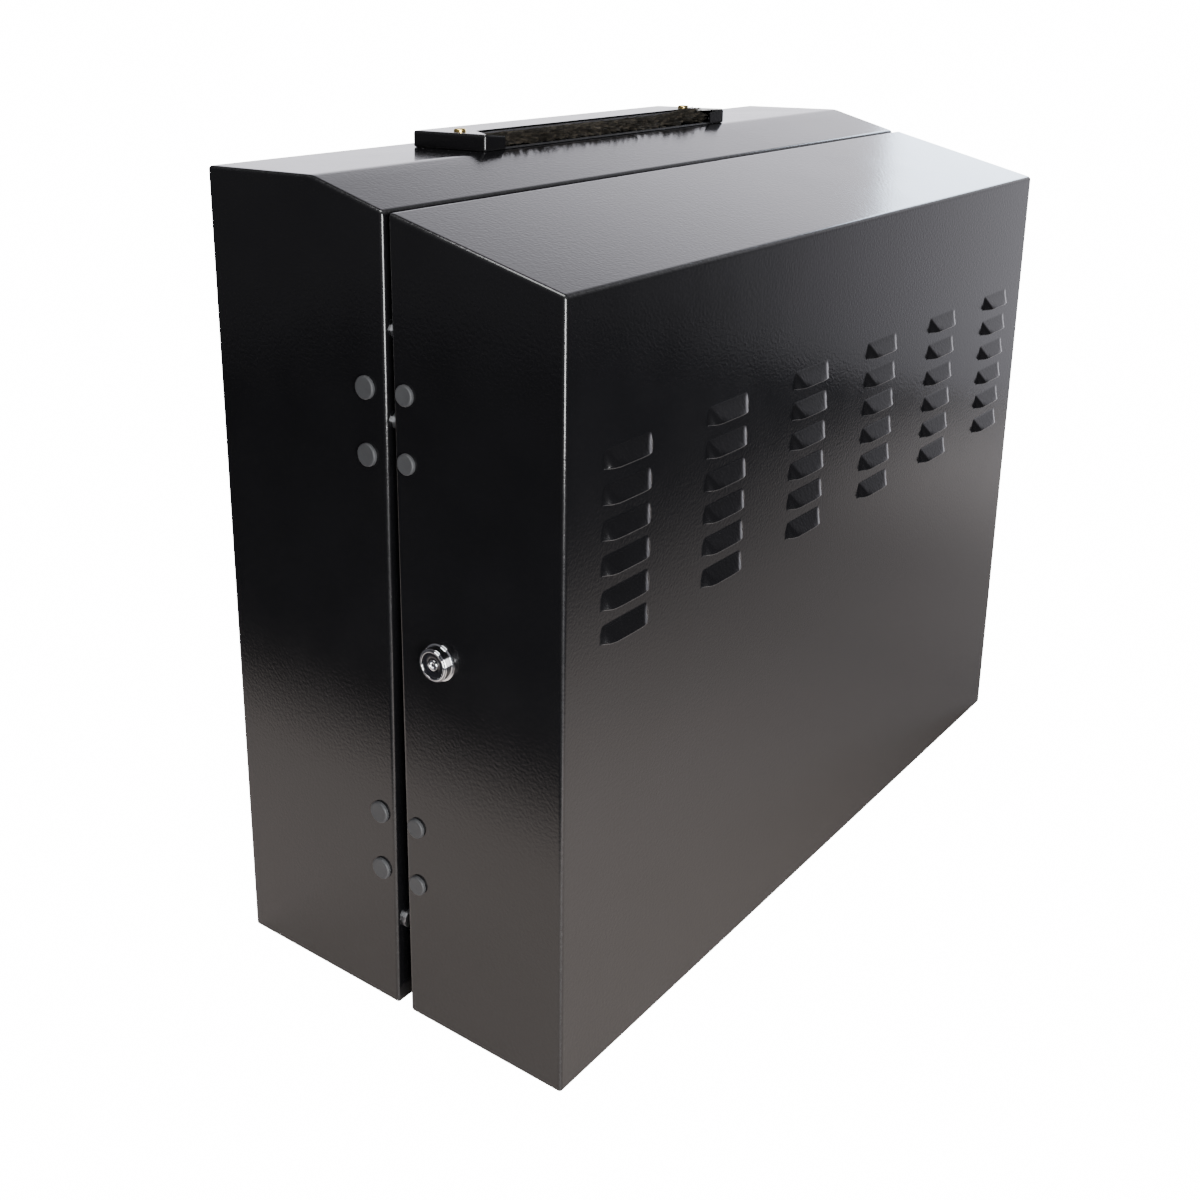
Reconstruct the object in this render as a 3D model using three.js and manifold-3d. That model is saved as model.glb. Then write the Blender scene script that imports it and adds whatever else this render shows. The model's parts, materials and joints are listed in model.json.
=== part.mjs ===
// A wall cabinet of folded steel sheet in two shells: a rear shell that hangs on the wall, and a deep
// louvred door that swings on two hinges at its right side and locks at its left side. Millimetres, +Z up.
// Sizes are worked out with the base at z = 0, the wall at y = 0 and the door towards -Y; the group at the
// end moves the origin to the middle of the wall face.
import * as THREE from "three";
import { mergeVertices } from "three/addons/utils/BufferGeometryUtils.js";
import Module from "manifold-3d";

const wasm = await Module();
wasm.setup();

// ---- Driving dimensions -------------------------------------------------------------------------

const SHEET = 1.5; // steel sheet of both shells
const SEAT = 0.02; // gap between faces that rest on each other
const FIT = 0.15; // all-round gap of a shank in its hole

// Width: a 19-inch rack unit between the side walls.
const RACK_PANEL = 482.6;
const SIDE_ROOM = 37.2;
const WIDTH = RACK_PANEL + 2 * (SIDE_ROOM + SHEET);
const SIDE = WIDTH / 2;

// Depths from the wall. The rear shell's rim leans, so the gap to the door widens towards the base.
const SHELL_DEPTH = 124.1;
const GAP_AT_TOP = 3.7;
const GAP_AT_BASE = 8.9;
const DOOR_DEPTH = 104.2;
const DOOR_REAR = SHELL_DEPTH + GAP_AT_TOP;
const DEPTH = DOOR_REAR + DOOR_DEPTH;
const TOP_DEPTH = 76; // level part of the top, from the wall to the ridge

// Heights from the base.
const FRONT_HEIGHT = 416;
const DOOR_TOP_RISE = 27.7;
const SHELL_TOP_RISE = 14;
const RIM_HEIGHT = FRONT_HEIGHT + DOOR_TOP_RISE;
const RIDGE_HEIGHT = RIM_HEIGHT + SHELL_TOP_RISE;

// Flanges turned inwards round the rims.
const SHELL_FLANGE = 22;
const DOOR_FLANGE = 12;

// Louvres: a grid pressed out of the door's front.
const LOUVRE_COLUMNS = 6;
const LOUVRE_ROWS = 6;
const LOUVRE_WIDTH = 42.5;
const LOUVRE_HEIGHT = 9.5;
const LOUVRE_PROUD = 4.5;
const LOUVRE_WALL = 1.2;
const LOUVRE_MARGIN = 29; // from the door's side to the first louvre's end
const LOUVRE_ROW_PITCH = 17.75;
const LOUVRE_TOP_DROP = 86; // from the front's top edge to the top row's lips
const LOUVRE_PITCH = (WIDTH - 2 * LOUVRE_MARGIN - LOUVRE_WIDTH) / (LOUVRE_COLUMNS - 1);

// Hinges on the right side. The same holes on the left side let the door be hung the other way round, and
// plugs close them.
const HINGE_SETBACK = 1.3; // from the rim's top to the hinge axis
const HINGE_AXIS_Y = -(SHELL_DEPTH - HINGE_SETBACK);
const HINGE_BASE_RISE = 101.6; // lower hinge, from the base
const HINGE_TOP_DROP = 104.8; // upper hinge, from the rim's top
const HINGE_HEIGHTS = { lower: HINGE_BASE_RISE, upper: RIM_HEIGHT - HINGE_TOP_DROP };
const HINGE_HOLE_OFFSET = 13.2; // from the axis to each row of bolts
const HINGE_HOLE_PITCH = 34.8; // between the two bolts of a leaf
const LEAF_HEIGHT = 52;
const LEAF_MARGIN = 8; // from the bolts to the leaf's free edge
const LEAF_THICKNESS = 1.8;
const LEAF_ROOM = 9; // depth cut outside the side wall round a leaf
const KNUCKLE_RADIUS = 4.5;
const KNUCKLE_GAP = 0.4;
const PIN_RADIUS = 2.5;
const PIN_CLEARANCE = 0.06;
const PIN_HEAD_RADIUS = 3.6;
const PIN_HEAD_HEIGHT = 1.6;
const BOLT_RADIUS = 3; // M6
const BOLT_HEAD_RADIUS = 5.2;
const BOLT_HEAD_HEIGHT = 2.2;
const NUT_FLATS = 10;
const NUT_HEIGHT = 5;
const BOLT_END = 1; // thread past a nut

// Plugs in the unused hinge holes.
const SHELL_PLUG_RADIUS = 6.1;
const DOOR_PLUG_RADIUS = 5.5;
const PLUG_PROUD = 2;
const PLUG_EDGE = 0.8;
const PLUG_BARB = 0.5;
const PLUG_STEM_LENGTH = 6;
// The plug's domed face, as parts of its radius and height.
const PLUG_DOME = [
  [0.8, 0.85],
  [0.4, 1],
  [0, 1],
];

// Rails for rack units, behind the rear shell's rim flange.
const RACK_UNIT = 44.45;
const RACK_HOLE_SPACING = RACK_PANEL - 17.5;
const RACK_HOLE_STEPS = [6.35, 22.225, 38.1]; // the three holes of one unit, from its lower edge
const RACK_HOLE = 9.5;
const RACK_OPENING = RACK_PANEL - 32.4;
const RAIL_THICKNESS = 3;
const RAIL_BASE_RISE = 38;
const RAIL_TOP_DROP = 24; // least distance from the rim's top to the rail
const RAIL_END = 12; // rail past its rack units at each end
const RAIL_SIDE_GAP = 3; // rail's outer edge to the side wall
const RAIL_SEAT = 0.1; // rail's face to the rim flange, which leans
const RAIL_BOLT_INSET = 9; // bolt's centre to the outside of the side wall
const RAIL_BOLT_BASE_RISE = 52;
const RAIL_BOLT_TOP_DROPS = [57.7, 103.7]; // from the rim's top

// Cam lock through the door's left side.
const LOCK_SETBACK = 27; // behind the door's rear rim
const LOCK_HEIGHT = 221;
const BEZEL_RADIUS = 10;
const BEZEL_FACE_RADIUS = 7.7;
const BEZEL_PROUD = 6;
const BEZEL_RIM = 1.2; // straight edge at the side wall
const BEZEL_CHAMFER = 1;
const BEZEL_CHAMFER_WIDTH = 0.8;
const BARREL_RADIUS = 8;
const BARREL_REACH = 14; // from the side's outer face to the barrel's inner end
const PLUG_FACE_RADIUS = 6.9;
const PLUG_FACE_DEPTH = 1.8;
const PLUG_FACE_SUNK = 0.5;
const PLUG_SHAFT_RADIUS = 4.5;
const TURN_CLEARANCE = 0.08;
const POST_RADIUS = 2.9;
const POST_GROOVE = 1.5; // ring round the post
const POST_GROOVE_DEPTH = 1;
const POST_CHAMFER = 0.4;
const POST_SUNK = 0.3; // solid disc left under the post
const LOCK_NUT_FLATS = 22;
const LOCK_NUT_HEIGHT = 4;
const CAM_THICKNESS = 2;
const CAM_HUB_RADIUS = 9;
const CAM_HALF_WIDTH = 6;
const CAM_NOSE = 9; // hook past the arm's edge
const CAM_NOSE_DEPTH = 7.7;
const CAM_PLAY = 2.5; // hook to the flange when locked
const CAM_SLOT_GAP = 2.5; // cam to the ends and sides of its slot
const CAM_SCREW_RADIUS = 2.5;
const CAM_SCREW_HEAD_RADIUS = 4.5;
const CAM_SCREW_HEAD_HEIGHT = 2.5;
const CAM_SCREW_LENGTH = 7;
const CAM_SCREW_HOLE = 8;

// Brush hood over the cable slot in the top.
const HOOD_SHEET = 1.2;
const HOOD_LEFT = -143;
const HOOD_RIGHT = 115;
const HOOD_SETBACK = 2; // from the ridge to the hood's front
const HOOD_DEPTH = 54.5;
const HOOD_HEIGHT = 9.5;
const HOOD_TAB = 18; // tapered tab at each end of the front
const HOOD_TAB_TAPER = 1.6;
const HOOD_NOTCH_DEPTH = 22; // top plate's edge behind the hood's front
const HOOD_SCREW_INSET = 10;
const HOOD_SCREW_SETBACK = 27;
const HOOD_SCREW_RADIUS = 2;
const HOOD_SCREW_HEAD_RADIUS = 3.6;
const HOOD_SCREW_HEAD_HEIGHT = 1.8;
const HOOD_SCREW_LENGTH = 14;
const SLOT_LIP = 3; // cable slot to the hood's front, and behind the notch's edge
const BRUSH_HOLDER_DEPTH = 6;
const BRUSH_HOLDER_WALL = 1;
const BRUSH_CLEARANCE = 0.4;

// Keyholes in the back, for the wall screws.
const KEYHOLE_SIDE_INSET = 60;
const KEYHOLE_BASE_RISE = 70;
const KEYHOLE_TOP_DROP = 60; // from the ridge's height
const KEYHOLE_HEAD_RADIUS = 7;
const KEYHOLE_SHANK_RADIUS = 4;
const KEYHOLE_TRAVEL = 16;

// Earth studs, one welded inside each shell.
const EARTH_STUD_RADIUS = 3;
const EARTH_STUD_LENGTH = 16;
const EARTH_COLLAR_RADIUS = 4.8;
const EARTH_COLLAR_HEIGHT = 1;
const EARTH_NUT_RISE = 4; // from the wall's inner face
const EARTH_STUD_RISE = 40;
const EARTH_STUD_SETBACK = 55; // from the wall, and from the door's front

// Segments round a circle.
const SMALL_ROUND = 12;
const ROUND = 16;
const FINE_ROUND = 24;
const LOUVRE_ROUND = 8; // round a louvre's section
const LOUVRE_BANDS = 3; // from end to end of a louvre

// ---- Materials ----------------------------------------------------------------------------------

function finish(color, roughness, metalness) {
  return new THREE.MeshStandardMaterial({ color, roughness, metalness });
}

const powderCoat = finish(0x0c0c0d, 0.35, 0);
const blackPlastic = finish(0x2a2b2d, 0.55, 0);
const bristleFibre = finish(0x070707, 0.9, 0);
const zincSteel = finish(0xb9bcc0, 0.35, 1);
const yellowZinc = finish(0xc9a04a, 0.3, 1);
const chrome = finish(0xd5d7da, 0.08, 1);
const lockBlack = finish(0x101114, 0.3, 0);

// ---- Solids -------------------------------------------------------------------------------------

// A closed three.js geometry as a manifold solid.
function toSolid(geometry) {
  const bare = geometry.index ? geometry.toNonIndexed() : geometry.clone();
  const positions = new THREE.BufferGeometry().setAttribute("position", bare.getAttribute("position"));
  const merged = mergeVertices(positions, 1e-4);
  return new wasm.Manifold(
    new wasm.Mesh({
      numProp: 3,
      vertProperties: merged.attributes.position.array,
      triVerts: new Uint32Array(merged.index.array),
    }),
  );
}

function box(x0, x1, y0, y1, z0, z1) {
  const geometry = new THREE.BoxGeometry(x1 - x0, y1 - y0, z1 - z0);
  return toSolid(geometry.translate((x0 + x1) / 2, (y0 + y1) / 2, (z0 + z1) / 2));
}

const AXES = {
  x: [new THREE.Vector3(0, 1, 0), new THREE.Vector3(0, 0, 1), new THREE.Vector3(1, 0, 0)],
  y: [new THREE.Vector3(0, 0, 1), new THREE.Vector3(1, 0, 0), new THREE.Vector3(0, 1, 0)],
  z: [new THREE.Vector3(1, 0, 0), new THREE.Vector3(0, 1, 0), new THREE.Vector3(0, 0, 1)],
};

// An outline carried straight along an axis from one place to another. The outline's points are (y, z)
// along x, (z, x) along y, and (x, y) along z.
function prism(axis, points, from, to) {
  const shape = new THREE.Shape(points.map(([a, b]) => new THREE.Vector2(a, b)));
  const geometry = new THREE.ExtrudeGeometry(shape, { depth: to - from, bevelEnabled: false });
  geometry.translate(0, 0, from);
  return toSolid(geometry.applyMatrix4(new THREE.Matrix4().makeBasis(...AXES[axis])));
}

// A regular polygon's corners about a centre, as an outline for prism().
function ring(radius, count, a = 0, b = 0, turn = 0) {
  return Array.from({ length: count }, (_, i) => {
    const angle = turn + (2 * Math.PI * i) / count;
    return [a + radius * Math.cos(angle), b + radius * Math.sin(angle)];
  });
}

// A rod along an axis; (a, b) is its centre in prism()'s order.
function rod(axis, radius, from, to, a, b, count = SMALL_ROUND) {
  return prism(axis, ring(radius, count, a, b), from, to);
}

// A hexagonal nut blank with two of its flats square to prism()'s first direction.
function hexagon(axis, flats, from, to, a, b) {
  return prism(axis, ring(flats / Math.sqrt(3), 6, a, b, Math.PI / 6), from, to);
}

// A turned piece: [radius, height] pairs from axis to axis, turned about the line through (y, z) that points
// out of the left side. Height 0 is the side's outer face.
function turnedOnLeft(profile, y, z, count = FINE_ROUND) {
  const points = profile.map(([radius, height]) => new THREE.Vector2(radius, height));
  const geometry = new THREE.LatheGeometry(points, count);
  geometry.rotateZ(Math.PI / 2);
  return toSolid(geometry.translate(-SIDE, y, z));
}

// A convex outline moved inwards by a wall's thickness on every side.
function insetOutline(points, wall) {
  const count = points.length;
  const corners = points.map(([a, b]) => new THREE.Vector2(a, b));
  const sides = corners.map((corner, i) => {
    const along = corners[(i + 1) % count].clone().sub(corner).normalize();
    const inward = new THREE.Vector2(-along.y, along.x);
    return { start: corner.clone().addScaledVector(inward, wall), along };
  });
  return sides.map((side, i) => {
    const before = sides[(i + count - 1) % count];
    const step = side.start.clone().sub(before.start).cross(side.along) / before.along.cross(side.along);
    const corner = before.start.clone().addScaledVector(before.along, step);
    return [corner.x, corner.y];
  });
}

const cabinet = new THREE.Group();

// Adds a finished solid to the cabinet as a named mesh.
function add(name, solid, material) {
  const { vertProperties, triVerts } = solid.getMesh();
  const geometry = new THREE.BufferGeometry();
  geometry.setAttribute("position", new THREE.BufferAttribute(new Float32Array(vertProperties), 3));
  geometry.setIndex(new THREE.BufferAttribute(new Uint32Array(triVerts), 1));
  const mesh = new THREE.Mesh(geometry, material);
  mesh.name = name;
  cabinet.add(mesh);
}

// ---- Outlines that several pieces share ---------------------------------------------------------

const RIM_LEAN = (GAP_AT_BASE - GAP_AT_TOP) / RIM_HEIGHT;

// The rear shell's leaning rim: its y at a height.
function rimY(z) {
  return -SHELL_DEPTH + RIM_LEAN * (RIM_HEIGHT - z);
}

// Both shells in side view, as (y, z) outlines that run anticlockwise.
const SHELL_OUTLINE = [
  [rimY(0), 0],
  [0, 0],
  [0, RIDGE_HEIGHT],
  [-TOP_DEPTH, RIDGE_HEIGHT],
  [rimY(RIM_HEIGHT), RIM_HEIGHT],
];
const DOOR_OUTLINE = [
  [-DEPTH, 0],
  [-DOOR_REAR, 0],
  [-DOOR_REAR, RIM_HEIGHT],
  [-DEPTH, FRONT_HEIGHT],
];

const HINGE_HOLE_RADIUS = BOLT_RADIUS + FIT;
const SHELL_HOLE_Y = HINGE_AXIS_Y + HINGE_HOLE_OFFSET;
const DOOR_HOLE_Y = HINGE_AXIS_Y - HINGE_HOLE_OFFSET;
const HOLE_HEIGHTS = Object.values(HINGE_HEIGHTS).flatMap((height) => [
  height - HINGE_HOLE_PITCH / 2,
  height + HINGE_HOLE_PITCH / 2,
]);

// The eight hinge holes of one shell, four in each side wall.
function hingeHoles(holeY) {
  return HOLE_HEIGHTS.map((height) => rod("x", HINGE_HOLE_RADIUS, -SIDE - 1, SIDE + 1, holeY, height));
}

// ---- Lock ---------------------------------------------------------------------------------------

const LOCK_Y = -DOOR_REAR - LOCK_SETBACK;
const CAM_OUTER_X = -SIDE + BARREL_REACH + 2 * SEAT;
const CAM_INNER_X = CAM_OUTER_X + CAM_THICKNESS;
const FLANGE_BACK = rimY(LOCK_HEIGHT) + SHEET / Math.cos(Math.atan(RIM_LEAN)) - LOCK_Y;
const HOOK_FRONT = FLANGE_BACK + CAM_PLAY;
const HOOK_TIP = HOOK_FRONT + CAM_NOSE_DEPTH;
const HOOK_EDGE = CAM_HALF_WIDTH + CAM_NOSE;
const HOOK_REACH = Math.hypot(HOOK_TIP, HOOK_EDGE);
const HOOK_ENTRY = Math.sqrt(HOOK_REACH ** 2 - (FLANGE_BACK - 2 * SHEET) ** 2);

// The cam hangs down when unlocked; a quarter turn carries its hook back through the rim's slot.
function makeCam() {
  const outline = [
    [-CAM_HALF_WIDTH, 0],
    [-CAM_HALF_WIDTH, -HOOK_TIP],
    [HOOK_EDGE, -HOOK_TIP],
    [HOOK_EDGE, -HOOK_FRONT],
    [CAM_HALF_WIDTH, -HOOK_FRONT],
    [CAM_HALF_WIDTH, 0],
  ];
  const arm = prism("x", outline.map(([y, z]) => [LOCK_Y + y, LOCK_HEIGHT + z]), CAM_OUTER_X, CAM_INNER_X);
  const hub = rod("x", CAM_HUB_RADIUS, CAM_OUTER_X, CAM_INNER_X, LOCK_Y, LOCK_HEIGHT, FINE_ROUND);
  const hole = rod("x", CAM_SCREW_RADIUS + FIT, CAM_OUTER_X - 1, CAM_INNER_X + 1, LOCK_Y, LOCK_HEIGHT);
  return arm.add(hub).subtract(hole);
}

// The window that the hook passes through, grown by a gap, from one y to another.
function hookWindow(y0, y1, gap) {
  return box(
    CAM_OUTER_X - gap,
    CAM_INNER_X + gap,
    y0,
    y1,
    LOCK_HEIGHT - HOOK_ENTRY - gap,
    LOCK_HEIGHT + CAM_HALF_WIDTH + gap,
  );
}

function makeLock() {
  const recess = BEZEL_PROUD - PLUG_FACE_SUNK - PLUG_FACE_DEPTH;
  const bore = PLUG_SHAFT_RADIUS + TURN_CLEARANCE;
  const barrel = turnedOnLeft(
    [
      [bore, -BARREL_REACH],
      [BARREL_RADIUS, -BARREL_REACH],
      [BARREL_RADIUS, SEAT],
      [BEZEL_RADIUS, SEAT],
      [BEZEL_RADIUS, BEZEL_RIM],
      [BEZEL_FACE_RADIUS + BEZEL_CHAMFER_WIDTH, BEZEL_PROUD - BEZEL_CHAMFER],
      [BEZEL_FACE_RADIUS, BEZEL_PROUD],
      [PLUG_FACE_RADIUS + TURN_CLEARANCE, BEZEL_PROUD],
      [PLUG_FACE_RADIUS + TURN_CLEARANCE, recess - TURN_CLEARANCE],
      [bore, recess - TURN_CLEARANCE],
      [bore, -BARREL_REACH],
    ],
    LOCK_Y,
    LOCK_HEIGHT,
  );
  add("lock_barrel", barrel, chrome);

  const nutX = -SIDE + SHEET + SEAT;
  const nutEnd = nutX + LOCK_NUT_HEIGHT;
  const nut = hexagon("x", LOCK_NUT_FLATS, nutX, nutEnd, LOCK_Y, LOCK_HEIGHT);
  const nutBore = rod("x", BARREL_RADIUS + FIT, nutX - 1, nutEnd + 1, LOCK_Y, LOCK_HEIGHT, FINE_ROUND);
  add("lock_nut", nut.subtract(nutBore), zincSteel);

  const postDepth = PLUG_FACE_DEPTH - POST_SUNK;
  const face = recess + PLUG_FACE_DEPTH;
  const shaftEnd = -BARREL_REACH - SEAT;
  const plug = turnedOnLeft(
    [
      [0, shaftEnd + CAM_SCREW_HOLE],
      [CAM_SCREW_RADIUS + FIT, shaftEnd + CAM_SCREW_HOLE],
      [CAM_SCREW_RADIUS + FIT, shaftEnd],
      [PLUG_SHAFT_RADIUS, shaftEnd],
      [PLUG_SHAFT_RADIUS, recess],
      [PLUG_FACE_RADIUS, recess],
      [PLUG_FACE_RADIUS, face],
      [POST_RADIUS + POST_GROOVE, face],
      [POST_RADIUS + POST_GROOVE, face - POST_GROOVE_DEPTH],
      [POST_RADIUS + SEAT, face - POST_GROOVE_DEPTH],
      [POST_RADIUS + SEAT, face - postDepth],
      [0, face - postDepth],
    ],
    LOCK_Y,
    LOCK_HEIGHT,
  );
  add("lock_plug", plug, lockBlack);
  const post = turnedOnLeft(
    [
      [0, face - postDepth + SEAT],
      [POST_RADIUS, face - postDepth + SEAT],
      [POST_RADIUS, face - POST_CHAMFER],
      [POST_RADIUS - POST_CHAMFER, face],
      [0, face],
    ],
    LOCK_Y,
    LOCK_HEIGHT,
  );
  add("lock_post", post, chrome);
  add("lock_cam", makeCam(), zincSteel);

  const headX = CAM_INNER_X + SEAT;
  const shank = rod("x", CAM_SCREW_RADIUS, CAM_OUTER_X - CAM_SCREW_LENGTH, headX, LOCK_Y, LOCK_HEIGHT);
  const head = rod("x", CAM_SCREW_HEAD_RADIUS, headX, headX + CAM_SCREW_HEAD_HEIGHT, LOCK_Y, LOCK_HEIGHT);
  add("cam_screw", shank.add(head), zincSteel);
}

// ---- Brush hood ---------------------------------------------------------------------------------

const HOOD_FRONT = -TOP_DEPTH + HOOD_SETBACK;
const HOOD_REAR = HOOD_FRONT + HOOD_DEPTH;
const HOOD_BASE = RIDGE_HEIGHT + SEAT;
const HOOD_TOP = HOOD_BASE + HOOD_HEIGHT;
const NOTCH_Y = HOOD_FRONT + HOOD_NOTCH_DEPTH;
const HOOD_SCREW_Y = HOOD_FRONT + HOOD_SCREW_SETBACK;
const HOOD_SCREWS = { left: HOOD_LEFT + HOOD_SCREW_INSET, right: HOOD_RIGHT - HOOD_SCREW_INSET };
const SLOT_LEFT = HOOD_LEFT + HOOD_TAB + SLOT_LIP;
const SLOT_RIGHT = HOOD_RIGHT - HOOD_TAB - SLOT_LIP;

// The cable slot, as a block through whatever lies between two heights.
function cableSlot(z0, z1) {
  return box(SLOT_LEFT, SLOT_RIGHT, HOOD_FRONT + SLOT_LIP, NOTCH_Y - SLOT_LIP, z0, z1);
}

function hoodScrewHoles(z0, z1) {
  return Object.values(HOOD_SCREWS).map((x) => rod("z", HOOD_SCREW_RADIUS + FIT, z0, z1, x, HOOD_SCREW_Y));
}

// Tab at one end of the hood's front: full height at the end wall, lower at its tip.
function hoodTab(end, inward) {
  const tip = end + inward * HOOD_TAB;
  const outline = [
    [HOOD_BASE, end],
    [HOOD_TOP, end],
    [HOOD_TOP - HOOD_TAB_TAPER, tip],
    [HOOD_BASE, tip],
  ];
  return prism("y", outline, HOOD_FRONT, HOOD_FRONT + HOOD_SHEET);
}

function makeHood() {
  const block = box(HOOD_LEFT, HOOD_RIGHT, HOOD_FRONT, HOOD_REAR, HOOD_BASE, HOOD_TOP);
  const inside = box(
    HOOD_LEFT + HOOD_SHEET,
    HOOD_RIGHT - HOOD_SHEET,
    HOOD_FRONT - 1,
    HOOD_REAR - HOOD_SHEET,
    HOOD_BASE + HOOD_SHEET,
    HOOD_TOP - HOOD_SHEET,
  );
  const notch = prism(
    "z",
    [
      [HOOD_LEFT + HOOD_SHEET, HOOD_FRONT - 1],
      [HOOD_RIGHT - HOOD_SHEET, HOOD_FRONT - 1],
      [HOOD_RIGHT - HOOD_TAB, NOTCH_Y],
      [HOOD_LEFT + HOOD_TAB, NOTCH_Y],
    ],
    HOOD_TOP - 2 * HOOD_SHEET,
    HOOD_TOP + 1,
  );
  let hood = block.subtract(inside).subtract(notch);
  hood = hood.add(hoodTab(HOOD_LEFT, 1)).add(hoodTab(HOOD_RIGHT, -1));
  hood = hood.subtract(cableSlot(HOOD_BASE - 1, HOOD_BASE + 2 * HOOD_SHEET));
  for (const hole of hoodScrewHoles(HOOD_BASE - 1, HOOD_TOP + 1)) hood = hood.subtract(hole);
  add("brush_hood", hood, powderCoat);

  // The holder is a channel under the top plate that grips the bristles' roots.
  const left = HOOD_LEFT + HOOD_TAB + BRUSH_CLEARANCE;
  const right = HOOD_RIGHT - HOOD_TAB - BRUSH_CLEARANCE;
  const low = HOOD_BASE + HOOD_SHEET + SEAT;
  const high = HOOD_TOP - HOOD_SHEET - SEAT;
  const wall = BRUSH_HOLDER_WALL;
  const rear = NOTCH_Y + BRUSH_HOLDER_DEPTH;
  const holder = box(left, right, NOTCH_Y, rear, low, high);
  const groove = box(left - 1, right + 1, NOTCH_Y - 1, rear - wall, low + wall, high - wall);
  add("brush_holder", holder.subtract(groove), zincSteel);
  const bristles = box(
    left,
    right,
    HOOD_FRONT + BRUSH_CLEARANCE,
    rear - wall - SEAT,
    low + wall + SEAT,
    high - wall - SEAT,
  );
  add("brush_bristles", bristles, bristleFibre);

  for (const [end, x] of Object.entries(HOOD_SCREWS)) {
    const seat = HOOD_TOP + SEAT;
    const top = seat + HOOD_SCREW_HEAD_HEIGHT;
    const shank = rod("z", HOOD_SCREW_RADIUS, seat - HOOD_SCREW_LENGTH, seat, x, HOOD_SCREW_Y);
    const head = rod("z", HOOD_SCREW_HEAD_RADIUS, seat, top, x, HOOD_SCREW_Y, ROUND);
    add(`hood_screw_${end}`, shank.add(head), yellowZinc);
  }
}

// ---- Rails --------------------------------------------------------------------------------------

const RAIL_BOLT_X = SIDE - RAIL_BOLT_INSET;
const RAIL_BOLT_HEIGHTS = [RAIL_BOLT_BASE_RISE, ...RAIL_BOLT_TOP_DROPS.map((drop) => RIM_HEIGHT - drop)];
const RAIL_ROOM = RIM_HEIGHT - RAIL_BASE_RISE - RAIL_TOP_DROP - 2 * RAIL_END;
const RACK_UNITS = Math.floor(RAIL_ROOM / RACK_UNIT);
const RAIL_LOW = RAIL_BASE_RISE;
const RAIL_HIGH = RAIL_BASE_RISE + RACK_UNITS * RACK_UNIT + 2 * RAIL_END;

// The rail at one side (-1 left, 1 right), with the square holes of each rack unit.
function makeRail(side) {
  const front = (z) => rimY(z) + SHEET + RAIL_SEAT;
  const outline = [
    [front(RAIL_LOW), RAIL_LOW],
    [front(RAIL_LOW) + RAIL_THICKNESS, RAIL_LOW],
    [front(RAIL_HIGH) + RAIL_THICKNESS, RAIL_HIGH],
    [front(RAIL_HIGH), RAIL_HIGH],
  ];
  const edges = [side * (SIDE - SHEET - RAIL_SIDE_GAP), (side * RACK_OPENING) / 2];
  let rail = prism("x", outline, Math.min(...edges), Math.max(...edges));
  const [from, to] = [-SHELL_DEPTH, -SHELL_DEPTH / 2];
  for (const height of RAIL_BOLT_HEIGHTS) {
    rail = rail.subtract(rod("y", BOLT_RADIUS + FIT, from, to, height, side * RAIL_BOLT_X));
  }
  const half = RACK_HOLE / 2;
  const x = (side * RACK_HOLE_SPACING) / 2;
  for (let unit = 0; unit < RACK_UNITS; unit += 1) {
    for (const step of RACK_HOLE_STEPS) {
      const z = RAIL_LOW + RAIL_END + unit * RACK_UNIT + step;
      rail = rail.subtract(box(x - half, x + half, from, to, z - half, z + half));
    }
  }
  return rail;
}

function makeRails() {
  const hookRoom = hookWindow(-SHELL_DEPTH, -SHELL_DEPTH / 2, 2 * CAM_SLOT_GAP + CAM_NOSE);
  add("rail_left", makeRail(-1).subtract(hookRoom), zincSteel);
  add("rail_right", makeRail(1), zincSteel);

  for (const side of [-1, 1]) {
    RAIL_BOLT_HEIGHTS.forEach((height, i) => {
      const seat = rimY(height) - BOLT_HEAD_RADIUS * RIM_LEAN - SEAT;
      const tip = seat + SHEET + RAIL_THICKNESS + NUT_HEIGHT;
      const x = side * RAIL_BOLT_X;
      const shank = rod("y", BOLT_RADIUS, seat, tip, height, x);
      const head = rod("y", BOLT_HEAD_RADIUS, seat - BOLT_HEAD_HEIGHT, seat, height, x);
      add(`rail_bolt_${side < 0 ? "left" : "right"}_${i + 1}`, shank.add(head), zincSteel);
    });
  }
}

// ---- Shells -------------------------------------------------------------------------------------

// A folded tray: an outline's walls, side walls, and a rim flange round the mouth between two y values.
function tray(outline, flange, mouthTop, mouthFrom, mouthTo) {
  const inner = insetOutline(outline, SHEET);
  return prism("x", outline, -SIDE, SIDE)
    .subtract(prism("x", inner, -SIDE + SHEET, SIDE - SHEET))
    .subtract(box(-SIDE + flange, SIDE - flange, mouthFrom, mouthTo, flange, mouthTop - flange));
}

function keyhole(x, z) {
  const head = rod("y", KEYHOLE_HEAD_RADIUS, -SHEET - 1, 1, z, x, ROUND);
  const shank = rod("y", KEYHOLE_SHANK_RADIUS, -SHEET - 1, 1, z + KEYHOLE_TRAVEL, x, ROUND);
  const neck = box(x - KEYHOLE_SHANK_RADIUS, x + KEYHOLE_SHANK_RADIUS, -SHEET - 1, 1, z, z + KEYHOLE_TRAVEL);
  return head.add(shank).add(neck);
}

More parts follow.
